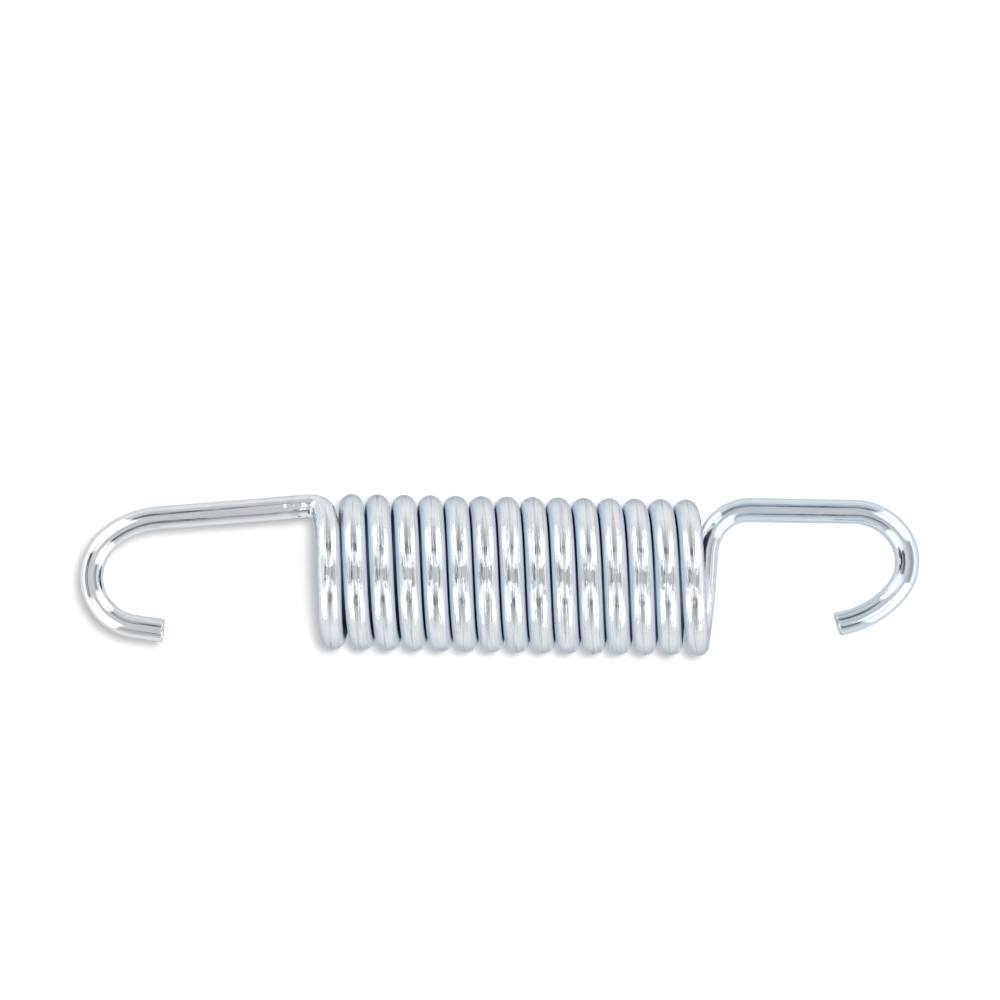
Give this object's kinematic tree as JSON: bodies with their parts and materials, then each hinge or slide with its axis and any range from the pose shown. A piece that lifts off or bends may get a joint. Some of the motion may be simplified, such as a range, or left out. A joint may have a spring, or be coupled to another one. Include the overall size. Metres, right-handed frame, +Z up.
{
  "type": "kickstand spring",
  "caption": "Close-wound extension spring of round plated steel wire with an extended open hook at each end, which pulls a motorcycle's kickstand up or down.",
  "frame": {"origin": "centre of the bounding box's underside, on the surface that the spring lies on", "axes": "+X along the coil towards the hook that lies flat on the surface, +Y towards the side that both hook legs leave the coil from, +Z up"},
  "size_m": [0.1256, 0.0236, 0.0233],
  "materials": {
    "zinc_plated_wire": "bright zinc plate with a blue tint, faint drawing lines along the wire"
  },
  "bodies": {
    "root": {"kickstand_spring": "zinc_plated_wire"}
  },
  "joints": []
}
